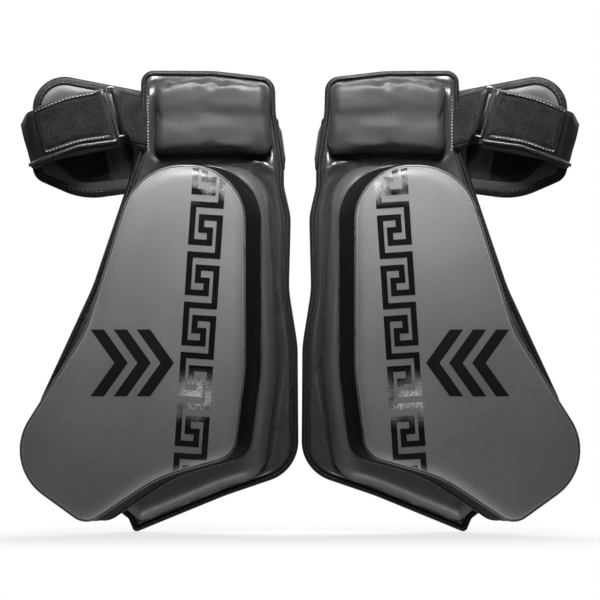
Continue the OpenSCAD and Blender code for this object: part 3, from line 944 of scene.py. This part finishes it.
def draped(squares, thickness=0.3, fine=1.5):
    """A foil on the strike face, made of convex polygons [x, z] that share their edges."""
    bm = bmesh.new()
    for corners in squares:
        bm.faces.new([bm.verts.new((x, 0, z)) for x, z in corners])
    bmesh.ops.remove_doubles(bm, verts=bm.verts, dist=0.01)
    for axis in (0, 2):
        values = [v.co[axis] for v in bm.verts]
        for at in np.arange(min(values) + fine / 2, max(values), fine):
            place, normal = [0, 0, 0], [0, 0, 0]
            place[axis], normal[axis] = at, 1
            geom = bm.verts[:] + bm.edges[:] + bm.faces[:]
            bmesh.ops.bisect_plane(bm, geom=geom, plane_co=place, plane_no=normal)
    rim = outline(FACE, FACE_INSET + 1.2)
    for v, within in zip(bm.verts, inside(np.array([v.co.xz for v in bm.verts]), rim)):
        v.tag = bool(within)
    gone = [f for f in bm.faces if not any(v.tag for v in f.verts)]
    bmesh.ops.delete(bm, geom=gone, context="FACES")
    bm.verts.ensure_lookup_table()
    for v in bm.verts:
        if not v.tag:
            v.co.xz = rim[np.argmin(((rim - v.co.xz) ** 2).sum(1))]
    bmesh.ops.dissolve_degenerate(bm, dist=0.02, edges=bm.edges)
    for v, y in zip(bm.verts, face_depth(np.array([v.co.xz for v in bm.verts]))):
        v.co.y = y - 0.12
    under = bmesh.ops.extrude_face_region(bm, geom=bm.faces[:])
    for v in under["geom"]:
        if isinstance(v, bmesh.types.BMVert):
            v.co.y -= thickness
    skin = Skin()
    skin.v = [tuple(v.co) for v in bm.verts]
    bm.verts.index_update()
    faces = [[v.index for v in f.verts] for f in bm.faces]
    bm.free()
    # BMesh gives the faces in another order each time, so they are sorted
    skin.f = sorted(tuple(np.roll(face, -face.index(min(face))).tolist()) for face in faces)
    return skin


def rectangle(x, z, half_x, half_z):
    """Corners of a rectangle round its middle."""
    return [(x + a * half_x, z + b * half_z) for a, b in ((-1, -1), (1, -1), (1, 1), (-1, 1))]


def key_squares():
    """One column of Greek-key turns, cut into squares at its grid points and bars between them."""
    turn = [(3, 4), (0, 4), (0, 1), (2, 1), (2, 2), (1, 2), (1, 3), (3, 3), (3, 0)]
    column, row = (KEY_WIDTH - STROKE) / 3, KEY_PITCH / 4
    half = STROKE / 2
    spots, bars = set(), set()
    for repeat in range(-1, 7):
        for (x0, z0), (x1, z1) in zip(turn, turn[1:]):
            count = abs(x1 - x0) + abs(z1 - z0)
            for i in range(count + 1):
                x = x0 + (x1 - x0) * i // count
                z = z0 + (z1 - z0) * i // count + 4 * repeat
                spots.add((x, z))
                if i:
                    bars.add((*sorted([last, (x, z)])[0], x1 != x0))
                last = (x, z)
    squares = [rectangle(x * column, z * row, half, half) for x, z in spots]
    for x, z, level_bar in bars:
        if level_bar:
            squares.append(rectangle((x + 0.5) * column, z * row, column / 2 - half, half))
        else:
            squares.append(rectangle(x * column, (z + 0.5) * row, half, row / 2 - half))
    c, s = math.cos(KEY_LEAN), math.sin(KEY_LEAN)
    x, z = np.moveaxis(np.array(squares) - (1.5 * column, 3 * KEY_PITCH), -1, 0)
    return np.stack([x * c + z * s, z * c - x * s], -1) + KEY_AT + ORIGIN


def chevron_squares():
    """Three nested chevrons, pointing at the inner edge."""
    bar, step, reach, half = (CHEVRON_SIZE * share for share in (0.17, 0.29, 0.30, 0.42))
    polygons = []
    for i in (-1, 0, 1):
        x = CHEVRON_AT[0] + i * step - reach / 2 + ORIGIN[0]
        z = CHEVRON_AT[1] + ORIGIN[1]
        for side in (1, -1):
            polygons.append([
                (x, z + side * half), (x + bar, z + side * half), (x + bar + reach, z), (x + reach, z),
            ])
    return polygons


def build_prints():
    piece("key_print", "shield", "gloss_print", draped(key_squares()), sharp=40)
    piece("emblem_print", "shield", "matte_print", draped(chevron_squares()), sharp=40)


# ---------------- cuff wing

WING_LINE = spline(WING_PATH)
WING_LOOP = outline(WING)


def wing_middle(points):
    """Depth of the wing's middle layer."""
    line = WING_LINE[np.argsort(WING_LINE[:, 0])]
    return np.interp(points[:, 0] - ORIGIN[0], line[:, 0], line[:, 1]) + BASE_BACK


def wing_half(d):
    """Half the wing's thickness at a distance from its edge."""
    return 2.0 + 2.9 * smooth((d - 4) / 12)


def wing_side(points, way, waves):
    """Depth of the wing's soft front (way -1) or back (way 1), with waves as for wobble()."""
    d = distance(points, WING_LOOP)
    return wing_middle(points) + way * wing_half(d) + 0.5 * wobble(points, *waves) * smooth((d - 6) / 8)


def wing_front(points):
    return wing_side(points, -1, (28, 20, 2.6))


def wing_back(points):
    return wing_side(points, 1, (30, 24, 5.6))


def build_wing():
    insets = (1.8, 3.0, 5.0, 8.0, 12.0)
    lining = plate(WING, insets, wing_front, lambda p: wing_middle(p) - 0.05)
    piece("wing_lining", "cuff", "lining_leather", lining)
    shell = plate(WING, insets, wing_back, lambda p: wing_middle(p) + 0.05)
    piece("wing_shell", "cuff", "gloss_leather", shell, ["wing_shell", "wing_foam"])

    tape = [(9.2, 0.5), (8.8, 1.2), (6.5, 1.35), (3.5, 1.3), (1.3, 0.9), (0.3, -0.4)]
    profile = [(d, -wing_half(d) - rise) for d, rise in tape] + [(0.0, 0.0)]
    profile += [(d, wing_half(d) + rise) for d, rise in reversed(tape)]
    profile += [(8.6, wing_half(8.6) - 0.3), (1.8, 0.9), (1.8, -0.9), (8.6, 0.3 - wing_half(8.6))]
    skin = Skin()
    rings = []
    for i, (d, offset) in enumerate(profile):
        flat = outline(WING, d)
        pucker = 0.35 * wobble(flat, 8, 8, 1.0 + 0.2 * i)
        rings.append(standing(flat, wing_middle(flat) + offset + pucker))
    skin.rings(rings, wrap=True)
    piece("wing_binding", "cuff", "binding_tape", skin)

    skin = Skin()
    for rise in (-wing_half(6.4) - 1.5, wing_half(6.4) + 1.5):
        skin.stitches(ring_of(WING, 6.4, lambda p: wing_middle(p) + rise), 5.2, 3.4, 0.45)
    for shift in (-1.6, 1.6):
        seam = np.linspace((shift - 229, 420), (shift - 229, 482), 40) + ORIGIN
        skin.stitches(standing(seam, lambda p: wing_front(p) - 0.2), 4.2, 2.8, 0.4, closed=False)
    piece("wing_stitches", "cuff", "grey_thread", skin)

    def panel_surface(points):
        d = distance(points, outline(WING_PANEL))
        return wing_front(points) - 0.9 * smooth(d / 1.5) + 0.5 * wobble(points, 15, 12, 3.8) - 0.2

    panel = plate(WING_PANEL, (0.0, 0.6, 1.6, 4.0), panel_surface, lambda p: wing_front(p) + 0.6, 3.5)
    piece("wing_loop_panel", "cuff", "loop_fabric", panel)

    rib = [(-214, 426, 1), (-208, 426, 1), (-199, 384, 1), (-205, 384, 1)]
    band = plate(rib, (0.0, 0.7, 1.6), lambda p: wing_front(p) - 1.9, lambda p: wing_front(p) - 0.4)
    piece("wing_rib", "cuff", "strap_leather", band)


# ---------------- strap, tail, tab and ring

def in_strap_frame(points):
    """World points from [along, depth, up] in the strap's tilted frame."""
    a, y, u = np.array(points, float).T
    c, s = math.cos(TILT), math.sin(TILT)
    return np.stack([
        RING_AT[0] + ORIGIN[0] + a * c - u * s, y + BASE_BACK, RING_AT[1] + ORIGIN[1] + a * s + u * c,
    ], 1)


def span_of(corners, inset=0.0):
    """Lowest and highest point of an outline at each distance along the strap."""
    loop = outline(corners, inset, step=1.5, origin=0.0)

    def span(a):
        a = min(max(a, loop[:, 0].min() + 0.02), loop[:, 0].max() - 0.02)
        b, c = loop, np.roll(loop, -1, 0)
        hit = (b[:, 0] <= a) != (c[:, 0] <= a)
        share = (a - b[hit, 0]) / (c[hit, 0] - b[hit, 0])
        up = b[hit, 1] + share * (c[hit, 1] - b[hit, 1])
        return up.min(), up.max()

    return span


def normals_of(line):
    """Unit normals of an open line [along, depth]."""
    e = np.gradient(line, axis=0)
    e /= np.linalg.norm(e, axis=1)[:, None]
    return np.stack([e[:, 1], -e[:, 0]], 1)


# Where along the strap a pared band starts to thin towards the ring, and over what length
PARED_FROM, PARED_OVER = -10.5, 5


def strip(line, span, inner, outer, step=2.5, dome=0.0, soft=0.0, seed=0.0, pared=0.0):
    """Closed band on a line [along, depth], between two offsets, with round long edges.

    pared is the share of its thickness that goes beside the ring.
    """
    line = resampled(np.array(line, float), step)
    outward = normals_of(line)
    half = (outer - inner) / 2
    shares = np.linspace(0, 1, 9)
    rings = []
    for at, n in zip(line, outward):
        thin = 1 - pared * float(smooth((at[0] - PARED_FROM) / PARED_OVER))
        low, high = span(at[0])
        edge = min(half, (high - low) / 4)
        ups = low + edge * 0.6 + (high - low - edge * 1.2) * shares
        section = [(inner + half, low)]
        section += [(outer + dome * (1 - (2 * t - 1) ** 2), u) for t, u in zip(shares, ups)]
        section += [(inner + half, high)]
        section += [(inner, u) for u in reversed(ups)]
        ring = []
        for offset, u in section:
            p = at + n * (inner + (offset - inner) * thin)
            q = soft * noise.noise((p[0] / 16, seed, u / 11)) if soft else 0.0
            ring.append((p[0] + n[0] * q, p[1] + n[1] * q, u))
        rings.append(in_strap_frame(ring))
    skin = Skin()
    skin.capped(rings)
    return skin


def joined(*skins):
    """Several skins as one piece."""
    whole = Skin()
    for skin in skins:
        start = len(whole.v)
        whole.v.extend(skin.v)
        whole.f.extend(tuple(start + i for i in face) for face in skin.f)
    return whole


def on_band(line, offset, ups):
    """3-D line on a band at an offset from its centre line."""
    return in_strap_frame(np.column_stack([line + normals_of(line) * offset, ups]))


STRAP_LINE = resampled(spline(STRAP_PATH), 1.5)


def front_run(low, high):
    """The part of the strap's line, in front of the thigh, between two places along it."""
    a, y = STRAP_LINE.T
    return STRAP_LINE[(low <= a) & (a <= high) & (y < 0)]


def build_strap():
    skin_t = 3.0
    inner, outer = -skin_t * 2 / 3, skin_t / 3
    start = np.argmax(STRAP_LINE[:, 0] < -84)
    whole = span_of(STRAP)

    def span(a):
        low, high = whole(a)
        return low, high + 2.0 - 8.0 * smooth((-86 - a) / 13)

    body = strip(STRAP_LINE[start:], span, inner, outer, 2.0, soft=0.9, seed=3.3)
    piece("strap_body", "cuff", "strap_leather", body)

    # Offsets of the layers from the strap's line, outwards
    patch = 0.8
    loop_d = outer + 0.1
    hook_d = loop_d + patch + 0.2
    tail_d = hook_d + patch + 0.2
    velvet_d = tail_d + 2.0
    loop_span = span_of([(-14, 24, 2), (-70, 22, 2), (-70, -22, 2), (-14, -20, 2)])
    loop = strip(front_run(-70, -14), loop_span, loop_d, loop_d + patch)
    piece("strap_loop_patch", "cuff", "loop_fabric", loop)
    hook_span = span_of([(-16, 20, 2), (-70, 20, 2), (-70, -18, 2), (-16, -18, 2)])
    hook = strip(front_run(-70, -16), hook_span, hook_d, hook_d + patch)
    piece("tail_hook_patch", "tail", "hook_tape", hook)

    tail_span = span_of(TAIL)
    front = front_run(-80, -3)
    tail = strip(front, tail_span, tail_d, tail_d + 1.8, 2.0, soft=0.3, seed=6.1)
    piece("strap_tail", "tail", "strap_leather", tail)

    def part_span(*ends):
        """Span between two places, each from the tail's edge 0 (low) or 1 (high)."""
        return lambda a: [tail_span(a)[edge] + away for edge, away in ends]

    velvet = strip(
        front_run(-77, -3.2), part_span((0, 5.0), (1, -5.5)), velvet_d - 0.3,
        velvet_d + 0.6, 2.0, dome=0.5, soft=0.8, seed=1.9, pared=0.8,
    )
    piece("tail_loop_face", "tail", "loop_fabric", velvet)

    edges = joined(*[
        strip(front_run(-79, -3), part_span(*ends), tail_d + 1.5, velvet_d + 0.9,
              2.0, dome=0.7, soft=0.3, seed=seed, pared=0.8)
        for seed, ends in ((4.0, ((0, 0.0), (0, 5.2))), (5.0, ((1, -5.6), (1, 0.0))))
    ])
    piece("tail_edges", "tail", "strap_leather", edges)

    skin = Skin()
    run = front_run(-78, -9)
    for pick, inset in ((1, -3.0), (0, 2.8)):
        ups = [tail_span(p[0])[pick] + inset for p in run]
        skin.stitches(on_band(run, velvet_d + 1.75, ups), 4.0, 2.5, 0.42, closed=False)
    piece("tail_stitches", "tail", "pale_thread", skin)

    around = STRAP_LINE[STRAP_LINE[:, 1] < 24]
    ups = [np.interp(p[0], [-97, -80, -42, -3], [-31, -28.6, -25.6, -30.6]) for p in around]
    offsets = 3.3 - 1.7 * smooth((-74 - around[:, :1]) / 18)
    roll = Skin().tube(on_band(around, offsets, ups), 2.2, 12, closed=False)
    piece("strap_roll", "cuff", "gloss_leather", roll)


# In the strap's frame: the places of the ring's two bars, its depth and half its height
BAR_X = (2.8, 10.3)
RING_Y = -16.5
RING_HALF = 27.5


def build_ring():
    inner, outer = BAR_X
    corners = [
        (inner, RING_HALF, 2.2), (outer, RING_HALF, 2.2), (outer, -RING_HALF, 2.2),
        (inner, -RING_HALF, 2.2),
    ]
    loop = outline(corners, step=2.0, origin=0.0)
    wire = Skin().tube(in_strap_frame(standing(loop, RING_Y)), 1.5, 14)
    piece("ring", "ring", "ring_steel", wire)


def build_tab():
    bar = BAR_X[1]
    half = RING_HALF - 2.6

    def tab_span(a):
        return (np.interp(a - bar, [1, 4, 13.5, 29], [-half, -37, -47, -55]),
                np.interp(a - bar, [0, 28], [half, 10]))

    round_bar = [
        (29, 9.5), (16, 3.0), (4.5, -2.4), (-1.6, -2.2), (-2.75, 0.2), (-1.0, 2.7), (4.5, 3.6),
        (16, 6.6), (29, 11.5),
    ]
    fold = spline(np.array(round_bar) + (bar, RING_Y))
    tab = strip(fold[::-1], tab_span, -0.55, 0.55, 1.5, soft=0.35, seed=2.2)
    piece("keeper_tab", "shield", "binding_tape", tab)
    run = fold[:22][fold[:22, 0] > bar + 3]

    def patch_span(a):
        return (np.interp(a - bar, [3, 13, 29], [-35, -40.5, -48]),
                np.interp(a - bar, [3, 9, 28], [-10, 15, 5]))

    patch = strip(run[::-1], patch_span, 0.5, 1.7, 1.2, dome=0.4, soft=0.3)
    piece("tab_patch", "shield", "loop_fabric", patch)

    skin = Skin()
    outward = normals_of(run[::-1])[::-1]
    top = run + outward * 1.2
    for which, inset in ((1, 1.4), (0, -1.6)):
        line = in_strap_frame(np.column_stack([top, [patch_span(a)[which] + inset for a in top[:, 0]]]))
        skin.stitches(line, 3.6, 2.2, 0.35, closed=False)
    piece("tab_stitches", "shield", "grey_thread", skin)


def build_wing_root():
    """Leather folded from the panel's back round the wing's root."""
    section = [
        (-11.0, 0.5), (-4.0, 0.6), (-0.6, 1.2), (1.0, 3.4), (1.4, 8.0), (1.0, 12.4), (-0.6, 15.0),
        (-4.0, 15.3), (-15.0, 15.2),
    ]
    line = resampled(spline(section, 5), 0.9)
    outward = normals_of(line)
    wrap = np.vstack([line + outward * 0.5, (line - outward * 0.5)[::-1]])
    low, high = 400, 443
    (top_x, top_z, _), (bottom_x, bottom_z, _) = WING[0], WING[-1]
    rings = []
    for z in np.linspace(low, high, 20):
        root = np.interp(z, (bottom_z, top_z), (bottom_x, top_x))
        root -= 1.6 * float(smooth((abs(z - (low + high) / 2) - 14) / 8))
        rings.append([(root + x + ORIGIN[0], BASE_BACK + y, z + ORIGIN[1]) for x, y in wrap])
    skin = Skin()
    skin.capped(rings)
    x, z = -15.5 * MM, 430 * MM
    bend = [(x, (BASE_BACK + y) * MM, z) for y in (1.5, 14.5)]
    piece("wing_root", "cuff", "gloss_leather", skin, bend=bend)


# ---------------- stage, light and camera

def build_stage():
    """A pale floor that glows to white away from the shields and hides its own reflections."""
    low = CAD_BOX[0]
    floor_mesh = bpy.data.meshes.new("floor")
    size = 14.0
    z = low.z - 0.0008
    corners = [(x, y, z) for x, y in rectangle(0, 0, size, size)]
    floor_mesh.from_pydata(corners, [], [(0, 1, 2, 3)])
    floor = placed("floor", floor_mesh)
    s = Shader("pale_floor")
    depth = s.node("SeparateXYZ", {0: s.place}).outputs[1]
    speck = s.noise(3.0, 3.0)
    s.finish(Base_Color=s.mixed(speck, grey(0.80), grey(0.86)), Roughness=0.85)
    glow = s.node("Emission", {"Color": grey(1.0), "Strength": 1.0}).outputs[0]
    far = s.span(s.maths("ABSOLUTE", depth), 0.05, 0.5, 0.7, 1.0, "SMOOTHSTEP")
    blend = s.node("MixShader", {0: far, 1: s.bsdf.outputs[0], 2: glow}).outputs[0]
    s.put(s.tree.nodes["Material Output"].inputs["Surface"], blend)
    floor_mesh.materials.append(s.material)
    floor.visible_glossy = False
    floor.visible_diffuse = False
    floor.visible_shadow = False


def build_world():
    """White to the camera; a soft room, bright above and dark below, to everything else."""
    world = bpy.data.worlds.new("studio")
    bpy.context.scene.world = world
    world.use_nodes = True
    tree = world.node_tree
    tree.nodes.clear()

    def node(kind, *sources):
        """A new node with its first inputs linked to the sources given."""
        made = tree.nodes.new("ShaderNode" + kind)
        for source, socket in zip(sources, made.inputs):
            tree.links.new(source, socket)
        return made

    place = node("TexCoord").outputs["Generated"]
    split = node("SeparateXYZ", place)
    scale = node("MapRange", split.outputs[2])
    scale.inputs["From Min"].default_value = -1.0
    ramp = node("ValToRGB", scale.outputs[0])
    stops = ((0.0, 0.3), (0.25, 0.12), (0.45, 0.04), (0.55, 0.04), (0.72, 0.14), (1.0, 0.45))
    ramp.color_ramp.elements[0].position = stops[0][0]
    ramp.color_ramp.elements[1].position = stops[-1][0]
    for position, _ in stops[1:-1]:
        ramp.color_ramp.elements.new(position)
    for element, (_, value) in zip(ramp.color_ramp.elements, stops):
        element.color = (value, value, value * 1.02, 1)
    room = node("Background", ramp.outputs[0])
    white = node("Background")
    white.inputs[0].default_value = (1, 1, 1, 1)
    seen = node("LightPath").outputs["Is Camera Ray"]
    node("OutputWorld", node("MixShader", seen, room.outputs[0], white.outputs[0]).outputs[0])


def lamp(name, at, aim, size, power, height=None, spread=180, shine=True):
    """An area lamp; without shine it leaves no highlights."""
    data = bpy.data.lights.new(name, "AREA")
    data.energy = power
    data.size = size
    data.spread = math.radians(spread)
    if height:
        data.shape = "RECTANGLE"
        data.size_y = height
    obj = placed(name, data)
    obj.location = at
    obj.rotation_mode = "QUATERNION"
    obj.rotation_quaternion = (Vector(aim) - Vector(at)).to_track_quat("-Z", "Y")
    obj.visible_camera = False
    obj.visible_glossy = shine


def build_lights():
    """A beam on the upper half, soft strips for the edges, and light thrown up by the pale floor."""
    lamp("key", (0.0, -0.58, 1.02), (0.0, 0.0, 0.5), 0.6, 3.3, 0.3, spread=40)
    lamp("front", (0.0, -2.4, 1.9), (0.0, 0.0, 0.35), 1.6, 1.7, 0.8)
    lamp("low", (0.0, -0.42, 0.012), (0.0, 0.0, 0.14), 0.9, 0.1, 0.06)
    lamp("bounce", (0.0, -0.08, -0.9), (0.0, -0.04, 0.0), 0.7, 3.0, 0.6)
    lamp("soft_bounce", (0.0, -0.08, -0.9), (0.0, -0.04, 0.0), 0.7, 12.0, 0.6, shine=False)
    lamp("strip_left", (-1.2, -1.8, 0.5), (0.0, 0.0, 0.3), 0.05, 1.8, 1.0)
    lamp("strip_right", (1.2, -1.8, 0.5), (0.0, 0.0, 0.3), 0.05, 1.8, 1.0)
    lamp("back", (0.4, 2.4, 1.8), (0.0, 0.0, 0.25), 1.8, 80.0)
    lamp("side_left", (-1.8, 0.8, 0.9), (0.0, 0.0, 0.25), 0.8, 9.0)
    lamp("side_right", (1.8, 0.8, 0.9), (0.0, 0.0, 0.25), 0.8, 9.0)


def build_camera():
    """Straight on and far off, as in the photo."""
    data = bpy.data.cameras.new("camera")
    data.sensor_width = 36.0
    away, picture_width = 6.0, 0.654
    data.lens = data.sensor_width * (away - CAD_BOX[0].y) / picture_width
    data.clip_end = 40.0
    camera = placed("camera", data)
    centre = (CAD_BOX[0] + CAD_BOX[1]) / 2
    camera.location = (0.0, CAD_BOX[0].y - away, centre.z + 0.001)
    camera.rotation_euler = (math.pi / 2, 0.0, 0.0)
    bpy.context.scene.camera = camera


build_base()
build_hip()
build_rear_pad()
build_step()
build_block()
build_prints()
build_wing()
build_strap()
build_ring()
build_tab()
build_wing_root()
build_stage()
build_world()
build_lights()
build_camera()
bpy.context.scene.view_settings.view_transform = "Standard"
